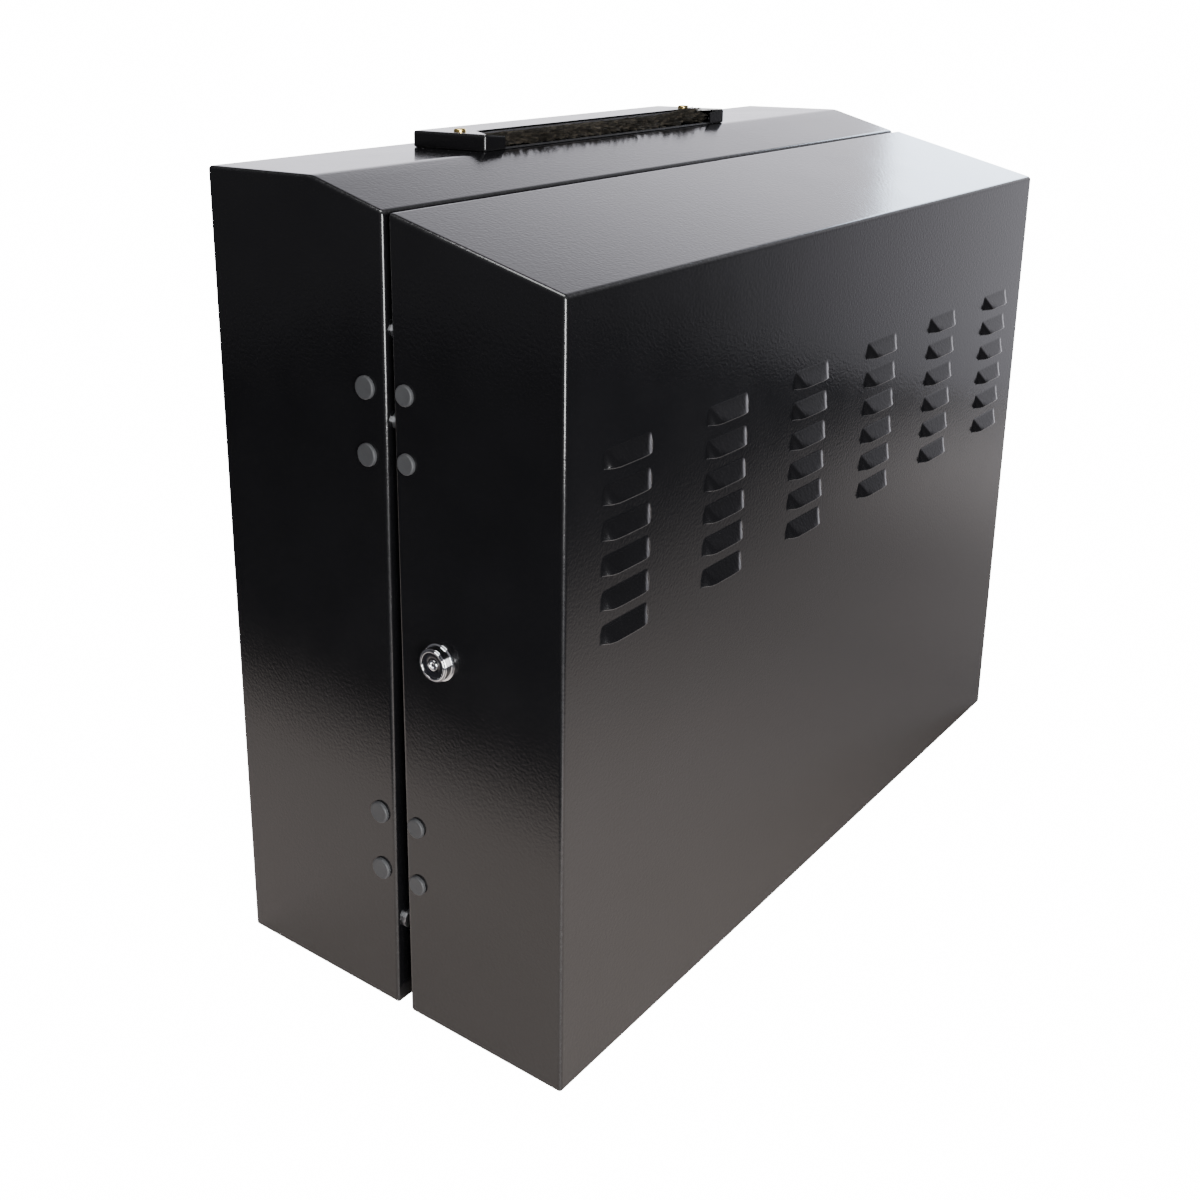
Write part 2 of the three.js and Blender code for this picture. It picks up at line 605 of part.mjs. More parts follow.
function makeRearShell() {
  let shell = tray(SHELL_OUTLINE, SHELL_FLANGE, RIM_HEIGHT, -SHELL_DEPTH - 1, -TOP_DEPTH);
  const keyholeX = SIDE - KEYHOLE_SIDE_INSET;
  const cuts = [
    ...hingeHoles(SHELL_HOLE_Y),
    ...hoodScrewHoles(RIDGE_HEIGHT - SHEET - 1, RIDGE_HEIGHT + 1),
    cableSlot(RIDGE_HEIGHT - SHEET - 1, RIDGE_HEIGHT + 1),
    hookWindow(-SHELL_DEPTH - 1, -SHELL_DEPTH / 2, CAM_SLOT_GAP),
  ];
  for (const x of [-keyholeX, keyholeX]) {
    cuts.push(keyhole(x, KEYHOLE_BASE_RISE), keyhole(x, RIDGE_HEIGHT - KEYHOLE_TOP_DROP));
  }
  for (const x of [-RAIL_BOLT_X, RAIL_BOLT_X]) {
    for (const height of RAIL_BOLT_HEIGHTS) {
      cuts.push(rod("y", BOLT_RADIUS + FIT, -SHELL_DEPTH - 1, -SHELL_DEPTH / 2, height, x));
    }
  }
  for (const cut of cuts) shell = shell.subtract(cut);
  add("rear_shell", shell, powderCoat);
}

// A stretched ball at (x, z) on the door's front: round ends, straight between them, flat below its lip.
function louvreForm(x, z, width, height, proud, lip) {
  const ball = new THREE.SphereGeometry(1, LOUVRE_ROUND, LOUVRE_BANDS).rotateZ(Math.PI / 2);
  const beltRadius = Math.sin(Math.PI / LOUVRE_BANDS);
  ball.scale(height, proud / beltRadius, height / beltRadius);
  const position = ball.getAttribute("position");
  for (let i = 0; i < position.count; i += 1) {
    const end = Math.sign(position.getX(i));
    position.setX(i, position.getX(i) + end * (width / 2 - height));
  }
  const [back, front] = [-DEPTH + 2 * proud, -DEPTH - 2 * proud];
  const above = box(x - width, x + width, front, back, z - lip, z + 2 * height);
  return toSolid(ball.translate(x, -DEPTH, z)).intersect(above);
}

function makeDoorShell() {
  let door = tray(DOOR_OUTLINE, DOOR_FLANGE, RIM_HEIGHT, -DOOR_REAR - 2 * SHEET, -DOOR_REAR + 1);
  const skin = box(-SIDE, SIDE, -DEPTH - LOUVRE_PROUD, -DEPTH + SHEET / 2, 0, FRONT_HEIGHT);
  for (let column = 0; column < LOUVRE_COLUMNS; column += 1) {
    for (let row = 0; row < LOUVRE_ROWS; row += 1) {
      const x = (column - (LOUVRE_COLUMNS - 1) / 2) * LOUVRE_PITCH;
      const z = FRONT_HEIGHT - LOUVRE_TOP_DROP - row * LOUVRE_ROW_PITCH;
      const outer = louvreForm(x, z, LOUVRE_WIDTH, LOUVRE_HEIGHT, LOUVRE_PROUD, 0);
      const inner = louvreForm(
        x,
        z,
        LOUVRE_WIDTH - 2 * LOUVRE_WALL,
        LOUVRE_HEIGHT - LOUVRE_WALL,
        LOUVRE_PROUD - LOUVRE_WALL,
        LOUVRE_WALL / 2,
      );
      door = door.add(outer.intersect(skin)).subtract(inner);
    }
  }
  for (const hole of hingeHoles(DOOR_HOLE_Y)) door = door.subtract(hole);
  door = door.subtract(
    rod("x", BARREL_RADIUS + FIT, -SIDE - 1, -SIDE + SHEET + 1, LOCK_Y, LOCK_HEIGHT, FINE_ROUND),
  );
  add("door_shell", door, powderCoat);
}

// ---- Hinges and plugs ---------------------------------------------------------------------------

const HINGE_AXIS_X = SIDE + KNUCKLE_RADIUS + SEAT;

// A leaf on one side of the axis (toward +1 is the rear shell's, -1 the door's), with its own knuckles.
function makeLeaf(height, toward, knuckles, others) {
  const low = height - LEAF_HEIGHT / 2;
  const free = HINGE_AXIS_Y + toward * (HINGE_HOLE_OFFSET + LEAF_MARGIN);
  const [y0, y1] = [Math.min(HINGE_AXIS_Y, free), Math.max(HINGE_AXIS_Y, free)];
  const plateX = SIDE + SEAT;
  let leaf = box(plateX, plateX + LEAF_THICKNESS, y0, y1, low, low + LEAF_HEIGHT);
  const [near, far] = [SIDE - 1, SIDE + LEAF_ROOM];
  const clear = KNUCKLE_RADIUS + KNUCKLE_GAP;
  for (const [from, to] of others) {
    const [z0, z1] = [low + from - KNUCKLE_GAP, low + to + KNUCKLE_GAP];
    leaf = leaf.subtract(box(near, far, HINGE_AXIS_Y - clear, HINGE_AXIS_Y + clear, z0, z1));
  }
  for (const [from, to] of knuckles) {
    leaf = leaf.add(rod("z", KNUCKLE_RADIUS, low + from, low + to, HINGE_AXIS_X, HINGE_AXIS_Y, ROUND));
  }
  leaf = leaf.subtract(
    rod("z", PIN_RADIUS + PIN_CLEARANCE, low - 1, low + LEAF_HEIGHT + 1, HINGE_AXIS_X, HINGE_AXIS_Y, ROUND),
  );
  for (const sign of [-1, 1]) {
    const z = height + (sign * HINGE_HOLE_PITCH) / 2;
    const y = HINGE_AXIS_Y + toward * HINGE_HOLE_OFFSET;
    leaf = leaf.subtract(rod("x", HINGE_HOLE_RADIUS, near, far, y, z));
  }
  return leaf;
}

// A bolt through a leaf and the side wall, with its nut inside.
function addHingeBolt(name, y, z) {
  const seat = SIDE + LEAF_THICKNESS + 2 * SEAT;
  const nutFace = SIDE - SHEET - SEAT;
  const nutEnd = nutFace - NUT_HEIGHT;
  const shank = rod("x", BOLT_RADIUS, nutEnd - BOLT_END, seat, y, z);
  const head = rod("x", BOLT_HEAD_RADIUS, seat, seat + BOLT_HEAD_HEIGHT, y, z, ROUND);
  add(`${name}_bolt`, shank.add(head), zincSteel);
  const bore = rod("x", BOLT_RADIUS + FIT, nutEnd - 1, nutFace + 1, y, z);
  add(`${name}_nut`, hexagon("x", NUT_FLATS, nutEnd, nutFace, y, z).subtract(bore), zincSteel);
}

function makeHinges() {
  const third = LEAF_HEIGHT / 3;
  const middle = [[third + KNUCKLE_GAP / 2, 2 * third - KNUCKLE_GAP / 2]];
  const ends = [
    [0, third - KNUCKLE_GAP / 2],
    [2 * third + KNUCKLE_GAP / 2, LEAF_HEIGHT],
  ];
  for (const [place, height] of Object.entries(HINGE_HEIGHTS)) {
    add(`hinge_${place}_shell_leaf`, makeLeaf(height, 1, ends, middle), powderCoat);
    add(`hinge_${place}_door_leaf`, makeLeaf(height, -1, middle, ends), powderCoat);
    const low = height - LEAF_HEIGHT / 2 - 1;
    const high = height + LEAF_HEIGHT / 2 + SEAT;
    const pin = rod("z", PIN_RADIUS, low, high, HINGE_AXIS_X, HINGE_AXIS_Y, ROUND);
    const head = rod("z", PIN_HEAD_RADIUS, high, high + PIN_HEAD_HEIGHT, HINGE_AXIS_X, HINGE_AXIS_Y, ROUND);
    add(`hinge_${place}_pin`, pin.add(head), zincSteel);
    for (const [end, sign] of [["low", -1], ["high", 1]]) {
      const z = height + (sign * HINGE_HOLE_PITCH) / 2;
      addHingeBolt(`hinge_${place}_shell_${end}`, SHELL_HOLE_Y, z);
      addHingeBolt(`hinge_${place}_door_${end}`, DOOR_HOLE_Y, z);
    }
  }
}

// A low domed plug with a barbed stem, in a hinge hole of the left side.
function makePlug(radius, y, z) {
  const stem = HINGE_HOLE_RADIUS - FIT;
  const inside = -SHEET - SEAT;
  const profile = [
    [0, -PLUG_STEM_LENGTH],
    [stem - PLUG_BARB, -PLUG_STEM_LENGTH],
    [stem + PLUG_BARB, inside],
    [stem, inside],
    [stem, SEAT],
    [radius, SEAT],
    [radius, PLUG_EDGE],
    ...PLUG_DOME.map(([across, up]) => [radius * across, PLUG_PROUD * up]),
  ];
  return turnedOnLeft(profile, y, z, ROUND);
}

function makePlugs() {
  HOLE_HEIGHTS.forEach((height, i) => {
    add(`plug_shell_${i + 1}`, makePlug(SHELL_PLUG_RADIUS, SHELL_HOLE_Y, height), blackPlastic);
    add(`plug_door_${i + 1}`, makePlug(DOOR_PLUG_RADIUS, DOOR_HOLE_Y, height), blackPlastic);
  });
}

// ---- Earth studs --------------------------------------------------------------------------------

// A stud with its nut, standing on the inside of the left wall.
function addEarthStud(name, y) {
  const foot = -SIDE + SHEET + SEAT;
  const stud = rod("x", EARTH_STUD_RADIUS, foot, foot + EARTH_STUD_LENGTH, y, EARTH_STUD_RISE);
  const collarEnd = foot + EARTH_COLLAR_HEIGHT;
  const collar = rod("x", EARTH_COLLAR_RADIUS, foot, collarEnd, y, EARTH_STUD_RISE);
  add(`${name}_stud`, stud.add(collar), zincSteel);
  const nutFace = foot + EARTH_NUT_RISE;
  const nutEnd = nutFace + NUT_HEIGHT;
  const nut = hexagon("x", NUT_FLATS, nutFace, nutEnd, y, EARTH_STUD_RISE);
  const bore = rod("x", EARTH_STUD_RADIUS + FIT, nutFace - 1, nutEnd + 1, y, EARTH_STUD_RISE);
  add(`${name}_nut`, nut.subtract(bore), zincSteel);
}

makeRearShell();
makeRails();
makeHood();
addEarthStud("shell_earth", -EARTH_STUD_SETBACK);
makeDoorShell();
addEarthStud("door_earth", -DEPTH + EARTH_STUD_SETBACK);
makeHinges();
makePlugs();
makeLock();

cabinet.position.z = -RIDGE_HEIGHT / 2;

export default cabinet;
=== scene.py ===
"""A black steel wall cabinet in two shells, with a louvred door, a side lock and a brush hood on top.

Metres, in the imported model's own frame: +Z up, the wall at y = 0 and the door towards -Y.
"""

import json

import bmesh
import bpy
import numpy as np
from mathutils import Matrix, Vector


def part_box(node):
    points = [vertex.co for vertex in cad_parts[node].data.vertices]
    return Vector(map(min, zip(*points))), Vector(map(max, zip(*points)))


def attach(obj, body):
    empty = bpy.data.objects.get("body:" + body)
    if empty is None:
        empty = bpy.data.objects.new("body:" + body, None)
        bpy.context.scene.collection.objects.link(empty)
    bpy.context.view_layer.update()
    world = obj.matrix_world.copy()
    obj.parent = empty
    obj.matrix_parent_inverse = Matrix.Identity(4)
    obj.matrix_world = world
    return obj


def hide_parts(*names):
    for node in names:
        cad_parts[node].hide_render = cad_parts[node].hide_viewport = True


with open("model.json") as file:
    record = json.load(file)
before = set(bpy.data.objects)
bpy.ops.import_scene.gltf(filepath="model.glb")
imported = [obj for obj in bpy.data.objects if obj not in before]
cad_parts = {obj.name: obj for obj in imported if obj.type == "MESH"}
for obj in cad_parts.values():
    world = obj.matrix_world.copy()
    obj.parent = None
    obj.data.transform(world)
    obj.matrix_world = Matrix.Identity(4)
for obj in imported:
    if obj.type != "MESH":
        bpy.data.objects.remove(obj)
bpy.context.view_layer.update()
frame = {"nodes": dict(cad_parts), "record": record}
MM = 0.001

# Sheet metal, in millimetres. BEND_STEPS is a count, and LEAN is the rim's slope.
SHEET = 1.5
BEND_RADIUS = 2.0
BEND_STEPS = 3
BEND_SUPPORT = 0.7
DOOR_TOP_RISE = 27.7
SHELL_TOP_RISE = 14.0
TOP_DEPTH = 76.0
RIDGE_SOFTNESS = 2.5
SHELL_FLANGE = 22.0
DOOR_FLANGE = 12.0
LEAN = 0.01172

# Louvres, in millimetres. LOUVRE_TOP_DROP runs from the front's top to the first row's lip.
LOUVRE_COLUMNS = 6
LOUVRE_ROWS = 6
LOUVRE_WIDTH = 42.5
LOUVRE_HEIGHT = 9.5
LOUVRE_PROUD = 4.5
LOUVRE_END = 7.2
LOUVRE_MARGIN = 29.0
LOUVRE_ROW_PITCH = 17.75
LOUVRE_TOP_DROP = 86.0

# A louvre's form, as shares of its height or of how far it stands out: the rolled part of its lip and how
# far that turns in, the softness of the join of end and slope and of the foot, and the S of its end.
LIP_ROLL = 0.075
LIP_TURN = 0.09
LOUVRE_BLEND = 0.55
LOUVRE_FOOT = 0.16
LOUVRE_S = 0.05

# Lightening towards the lighter colour, as a share of it: a painted highlight on the louvres' lips, and on
# edges, within a reach in millimetres, wear that is partly a painted highlight.
LIP_HIGHLIGHT = 0.4
EDGE_WEAR_AND_SHEEN = 0.3
EDGE_REACH = 1.6

# Keyholes in the back, in millimetres.
KEYHOLE_X = 220.0
KEYHOLE_RISES = (70.0, 397.7)
KEYHOLE_HEAD = 7.0
KEYHOLE_SHANK = 4.0
KEYHOLE_TRAVEL = 16.0

# The notch in the rim for the lock's cam, in millimetres above the base.
HOOK_RISES = (183.3, 229.5)
HOOK_ROOM = 2.5

# Brush hood and its brush, in millimetres. A fibre narrows by the share FIBRE_TAPER towards its tip, and
# the brush stands up about a place CREST_INSET in from its right end.
HOOD_SHEET = 1.2
HOOD_BEND = 1.5
HOOD_TAB = 18.0
HOOD_TAB_TAPER = 1.6
HOOD_NOTCH_DEPTH = 22.0
SLOT_INSET = 21.0
SLOT_LIP = 3.0
FIBRES = 6400
TUFTS = 1000
FIBRE_RADIUS = 0.21
FIBRE_TAPER = 0.35
CREST_INSET = 17
CREST_WIDTH = 14

# Cross recess of the hood's screws, in millimetres: half a bar's width and half its length, and the width
# of the sloping sides of each.
RECESS_BAR, RECESS_BAR_SLOPE = 0.42, 0.2
RECESS_REACH, RECESS_REACH_SLOPE = 2.0, 0.7

# The studio wall as light and reflections meet it: its brightness by height (sine of the elevation) and by
# turn from its middle (cosine), its tint, and the direction of its middle.
WALL_STRENGTH = 2.6
WALL_TINT = (1.0, 0.985, 1.07)
WALL_MIDDLE = (0.906, 0.423, 0)
WALL_BY_HEIGHT = ((-1, 0.05), (-0.35, 0.5), (-0.2, 1.0), (0.17, 1.0), (0.3, 0.98), (0.45, 0.54),
                  (0.6, 0.35), (1, 0.25))
WALL_BY_TURN = ((-1, 0.1), (-0.3, 0.05), (0.45, 0.03), (0.55, 0.07), (0.62, 0.22), (0.75, 0.5),
                (0.92, 0.9), (1, 1.0))

# The floor's span both ways in metres, and the painted light and shade that light and reflections meet
# along it, dark past its left and front edges and right of the cabinet and brightened further right: axis,
# from, to, and the paleness at each.
FLOOR_SPAN = (-1.6, 1.2)
FLOOR_PAINTED_LIGHT_AND_SHADE = (("X", -0.56, -0.44, 0, 1), ("Y", -0.74, -0.5, 0, 1), ("X", -0.25, 0.35, 1, 0.48),
               ("X", 0.5, 0.95, 1, 2.05))

# How brightly the camera sees the floor and the room, which is white.
WHITE = 16

# The camera: azimuth, elevation and roll in degrees, its place, its lens in millimetres and its shift.
CAMERA_TURNS = (-50.77, 17.09, -0.40)
CAMERA_PLACE = (-0.7732, -0.5966, 0.3066)
CAMERA_LENS = 43.30
CAMERA_SHIFT = (0.0845, -0.1249)

# Soft lights: name, place, what each faces, width and height, watts and colour.
LIGHTS = (("top light", (-0.4, -0.1, 2.0), (-0.2, -0.1, -0.2), (1.2, 1.2), 45, (1, 1, 1)),
          ("low light", (-0.92, -1.1, 0.17), (-0.28, -0.2, 0.1), (0.55, 0.8), 40, (1, 1, 1)),
          ("right light", (1.5, 0.1, 0.5), (1.1, -0.5, -0.23), (0.5, 0.8), 10, (0.78, 0.93, 1.12)))


# ---- Materials ---------------------------------------------------------------------------------


def surface(name, color, roughness, metallic=0.0, grain=(500.0, 0.02), mottle=0.15, tone_and_sheen_color=None,
            stretch=(1, 1, 1), rough_spread=0.06, blotch=22.0):
    """A principled material. Its bump is a noise of a given scale per metre and depth in millimetres, its
    colour and roughness wander with a broader noise, and a lighter colour lightens it where the mesh's own
    attribute for this is high: on painted sheet that is edge wear, partly a painted highlight, and a
    painted highlight on the louvres' lips; on fibres it is a tone that differs at random by tuft."""
    mat = bpy.data.materials.new(name)
    mat.use_nodes = True
    nodes, links = mat.node_tree.nodes, mat.node_tree.links
    shader = nodes["Principled BSDF"]
    shader.inputs["Metallic"].default_value = metallic
    shader.inputs["IOR"].default_value = 1.5

    coord = nodes.new("ShaderNodeTexCoord")
    mapping = nodes.new("ShaderNodeMapping")
    mapping.inputs["Scale"].default_value = stretch
    links.new(coord.outputs["Object"], mapping.inputs["Vector"])

    fine = nodes.new("ShaderNodeTexNoise")
    fine.inputs["Scale"].default_value = grain[0]
    fine.inputs["Detail"].default_value = 2.0
    fine.inputs["Roughness"].default_value = 0.45
    links.new(mapping.outputs["Vector"], fine.inputs["Vector"])
    bump = nodes.new("ShaderNodeBump")
    bump.inputs["Distance"].default_value = grain[1] * MM
    bump.inputs["Strength"].default_value = 1.0
    links.new(fine.outputs["Fac"], bump.inputs["Height"])
    links.new(bump.outputs["Normal"], shader.inputs["Normal"])

    broad = nodes.new("ShaderNodeTexNoise")
    broad.inputs["Scale"].default_value = blotch
    broad.inputs["Detail"].default_value = 5.0
    links.new(coord.outputs["Object"], broad.inputs["Vector"])
    tone = nodes.new("ShaderNodeValToRGB")
    dark, light = tone.color_ramp.elements
    dark.position, light.position = 0.3, 0.7
    dark.color = (*[c * (1 - mottle) for c in color], 1)
    light.color = (*[c * (1 + mottle) for c in color], 1)
    links.new(broad.outputs["Fac"], tone.inputs["Fac"])
    rough = nodes.new("ShaderNodeMapRange")
    rough.inputs["From Min"].default_value = 0.3
    rough.inputs["From Max"].default_value = 0.7
    rough.inputs["To Min"].default_value = roughness - rough_spread
    rough.inputs["To Max"].default_value = roughness + rough_spread
    links.new(broad.outputs["Fac"], rough.inputs["Value"])
    links.new(rough.outputs["Result"], shader.inputs["Roughness"])
    if tone_and_sheen_color is None:
        links.new(tone.outputs["Color"], shader.inputs["Base Color"])
        return mat

    wear = nodes.new("ShaderNodeAttribute")
    wear.attribute_name = "wear"
    amount = nodes.new("ShaderNodeMath")
    amount.operation = "MULTIPLY"
    links.new(wear.outputs["Fac"], amount.inputs[0])
    links.new(fine.outputs["Fac"], amount.inputs[1])
    mix = nodes.new("ShaderNodeMix")
    mix.data_type = "RGBA"
    mix.inputs["B"].default_value = (*tone_and_sheen_color, 1)
    links.new(amount.outputs["Value"], mix.inputs["Factor"])
    links.new(tone.outputs["Color"], mix.inputs["A"])
    links.new(mix.outputs["Result"], shader.inputs["Base Color"])
    return mat


# The powder coat's lighter colour marks edge wear that is partly a painted highlight, and a painted
# highlight along the louvres' lips.
POWDER = surface("powder coat", (0.003, 0.003, 0.0034), 0.145, grain=(560, 0.06),
                 tone_and_sheen_color=(0.1, 0.1, 0.103), rough_spread=0.02)
HINGE_COAT = surface("hinge coat", (0.012, 0.012, 0.013), 0.3, grain=(700, 0.02))
PLUG_PLASTIC = surface("dark grey plastic", (0.028, 0.029, 0.031), 0.6, grain=(2200, 0.02))
ZINC = surface("zinc plate", (0.6, 0.61, 0.63), 0.33, 1.0, grain=(900, 0.01), mottle=0.08)
BRUSHED_ZINC = surface("rolled zinc sheet", (0.58, 0.59, 0.61), 0.38, 1.0, grain=(900, 0.01),
                       mottle=0.1, stretch=(1, 1, 0.04))
YELLOW_ZINC = surface("yellow passivated zinc", (0.78, 0.58, 0.2), 0.26, 1.0, grain=(1400, 0.012),
                      mottle=0.25)
CHROME = surface("polished chrome", (0.78, 0.79, 0.81), 0.07, 1.0, grain=(600, 0.001),
                 mottle=0.02, rough_spread=0.02)
LOCK_BLACK = surface("black lock face", (0.006, 0.006, 0.008), 0.22, grain=(1500, 0.006))
BRISTLE = surface("black nylon fibre", (0.012, 0.011, 0.009), 0.45, grain=(900, 0.01), mottle=0.6,
                  tone_and_sheen_color=(0.15, 0.128, 0.1), blotch=300)


# ---- Mesh helpers ------------------------------------------------------------------------------


def bend_lines(low, high, radius=BEND_RADIUS):
    """Grid lines between two bent edges: the edge itself, radius times (1 - tan of equal parts of 45
    degrees) in from it, and one support line on the flat."""
    angles = np.linspace(np.pi / 4, 0, BEND_STEPS + 1)
    inset = np.append(radius * (1 - np.tan(angles)), radius + BEND_SUPPORT) * MM
    return np.concatenate([low + inset, high - inset])


def grid_lines(*groups):
    """All the groups' values once each, sorted, with values nearer than a hundredth of a millimetre
    joined."""
    values = np.sort(np.concatenate([np.atleast_1d(group) for group in groups]))
    return values[np.append(True, np.diff(values) > 0.01 * MM)]


def round_box(points, low, high, radius=BEND_RADIUS):
    """Moves points of a box's surface onto the same box with rounded edges: each is drawn towards the
    nearest point of the box shrunk by the radius, until it is one radius from it."""
    core = np.clip(points, low + radius * MM, high - radius * MM)
    away = points - core
    return core + radius * MM * away / np.linalg.norm(away, axis=-1, keepdims=True)


class Face:
    """One side of a box as a grid of points: lines of the two other axes crossed, at the low (-1) or high
    (+1) end of its axis."""

    def __init__(self, axis, side, lines, low, high):
        self.a, self.b = [k for k in range(3) if k != axis]
        self.axis, self.side = axis, side
        first, second = np.meshgrid(lines[self.a], lines[self.b], indexing="ij")
        self.points = np.zeros((*first.shape, 3))
        self.points[..., self.a] = first
        self.points[..., self.b] = second
        self.points[..., axis] = high[axis] if side > 0 else low[axis]
        self.keep = (np.diff(lines[self.a])[:, None] > 0) & (np.diff(lines[self.b])[None, :] > 0)

    def cut(self, distance):
        """Opens a hole where distance(a, b), the signed distance from its outline, is negative. Cells with
        their middle inside go, and points on the new border move along the distance's slope onto the
        outline."""
        a, b = self.points[..., self.a], self.points[..., self.b]
        middle = [(v[1:, 1:] + v[:-1, :-1]) / 2 for v in (a, b)]
        gone = distance(*middle) < 0
        border = touching(gone) & touching(self.keep & ~gone)
        step = 0.01 * MM
        value = distance(a, b)
        slope_a = (distance(a + step, b) - value) / step
        slope_b = (distance(a, b + step) - value) / step
        self.points[..., self.a] = np.where(border, a - value * slope_a, a)
        self.points[..., self.b] = np.where(border, b - value * slope_b, b)
        self.keep &= ~gone


def touching(cells):
    """Marks the grid points that have a marked cell beside them."""
    around = np.zeros((cells.shape[0] + 1, cells.shape[1] + 1), bool)
    for i in (0, 1):
        for j in (0, 1):
            around[i:i + cells.shape[0], j:j + cells.shape[1]] |= cells
    return around


def grid_quads(shape, offset=0, wrap=False):
    """Four-cornered faces between neighbouring points of a grid, with its last column joined to its first
    if wrap."""
    index = np.arange(shape[0] * shape[1]).reshape(shape) + offset
    if wrap:
        index = np.concatenate([index, index[:, :1]], axis=1)
    corners = [index[:-1, :-1], index[1:, :-1], index[1:, 1:], index[:-1, 1:]]
    return np.stack(corners, axis=-1)


def join_faces(faces):
    """The kept cells of several box faces as one list of points and one of quads, all facing outwards."""
    points, quads, count = [], [], 0
    for face in faces:
        cells = grid_quads(face.points.shape[:2], count)[face.keep]
        outward = face.side * (-1 if face.axis == 1 else 1)
        quads.append(cells if outward > 0 else cells[:, ::-1])
        points.append(face.points.reshape(-1, 3))
        count += len(points[-1])
    return np.concatenate(points), np.concatenate(quads)


def new_piece(name, points, quads, material, body, replaced=(), thickness=0.0, wear=None,
              sharp=38.0):
    """Makes a mesh piece: joins points that coincide, thickens it inwards if asked, marks edges sharper
    than an angle, and lets it ride on a body in place of CAD nodes."""
    mesh = bpy.data.meshes.new(name)
    mesh.from_pydata(points.reshape(-1, 3).tolist(), [], quads.reshape(-1, 4).tolist())
    if wear is not None:
        mesh.attributes.new("wear", "FLOAT", "POINT").data.foreach_set("value", wear.ravel())
    work = bmesh.new()
    work.from_mesh(mesh)
    bmesh.ops.remove_doubles(work, verts=work.verts, dist=0.004 * MM)
    bmesh.ops.delete(work, geom=[v for v in work.verts if not v.link_faces], context="VERTS")
    work.to_mesh(mesh)
    work.free()
    piece = bpy.data.objects.new(name, mesh)
    bpy.context.scene.collection.objects.link(piece)
    if thickness:
        solid = piece.modifiers.new("sheet", "SOLIDIFY")
        solid.thickness = thickness * MM
        solid.offset = -1
        solid.use_even_offset = True
        bpy.context.view_layer.update()
        shown = piece.evaluated_get(bpy.context.evaluated_depsgraph_get())
        thick = bpy.data.meshes.new_from_object(shown)
        piece.modifiers.clear()
        piece.data = thick
        piece.data.name = name
    piece.data.shade_smooth()
    piece.data.set_sharp_from_angle(angle=np.radians(sharp))
    piece.data.materials.clear()
    piece.data.materials.append(material)
    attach(piece, body)
    if replaced:
        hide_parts(*replaced)


def corners(node):
    """A CAD node's lowest and highest corners as arrays."""
    low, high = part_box(node)
    return np.array(low), np.array(high)


def edge_wear(points, low, high):
    """Wear, partly a painted highlight along the bent edges, that is highest at a box's edges and falls to
    0
    within EDGE_REACH: taken from each point's second nearest side."""
    gaps = np.minimum(points - low, high - points)
    second = np.sort(gaps, axis=-1)[..., 1]
    return EDGE_WEAR_AND_SHEEN * np.clip(1 - second / (EDGE_REACH * MM), 0, 1)


def rectangle(a0, a1, b0, b1, corner):
    """Signed distance from a rectangle with rounded corners: the usual box distance of the shrunk
    rectangle, less the corner's radius."""
    def distance(a, b):
        da = np.abs(a - (a0 + a1) / 2) - (a1 - a0) / 2 + corner
        db = np.abs(b - (b0 + b1) / 2) - (b1 - b0) / 2 + corner
        outside = np.hypot(np.maximum(da, 0), np.maximum(db, 0))
        return outside + np.minimum(np.maximum(da, db), 0) - corner
    return distance


def keyhole(x, z):
    """Signed distance from a keyhole: the nearer of a circle and of an upright slot above its middle."""
    def distance(a, b):
        head = np.hypot(a - x, b - z) - KEYHOLE_HEAD * MM
        rise = np.clip(b - z, 0, KEYHOLE_TRAVEL * MM)
        neck = np.hypot(a - x, b - z - rise) - KEYHOLE_SHANK * MM
        return np.minimum(head, neck)
    return distance


# ---- Door shell --------------------------------------------------------------------------------


def louvre_height(u, v):
    """How far a louvre stands out, from 0 to 1. u is the distance in from its end over the end's width, and
    v is 1 at the lip and 0 at the top: the smaller of the two, with the end curved as a flat S and a
    rounded join, eased at its foot, and turned in a little at the lip."""
    close = np.clip(LOUVRE_BLEND - np.abs(u - v), 0, None) / LOUVRE_BLEND
    u = u - np.where(u < 1, LOUVRE_S * np.sin(2 * np.pi * u), 0)
    level = np.clip(np.minimum(u, v) - close * close * LOUVRE_BLEND / 4, 0, None)
    level = np.minimum(level * level * (1 + LOUVRE_FOOT) / (level + LOUVRE_FOOT), 1)
    roll = np.clip((v - 1) / LIP_ROLL + 1, 0, 1)
    return level * (1 - LIP_TURN * roll * roll)


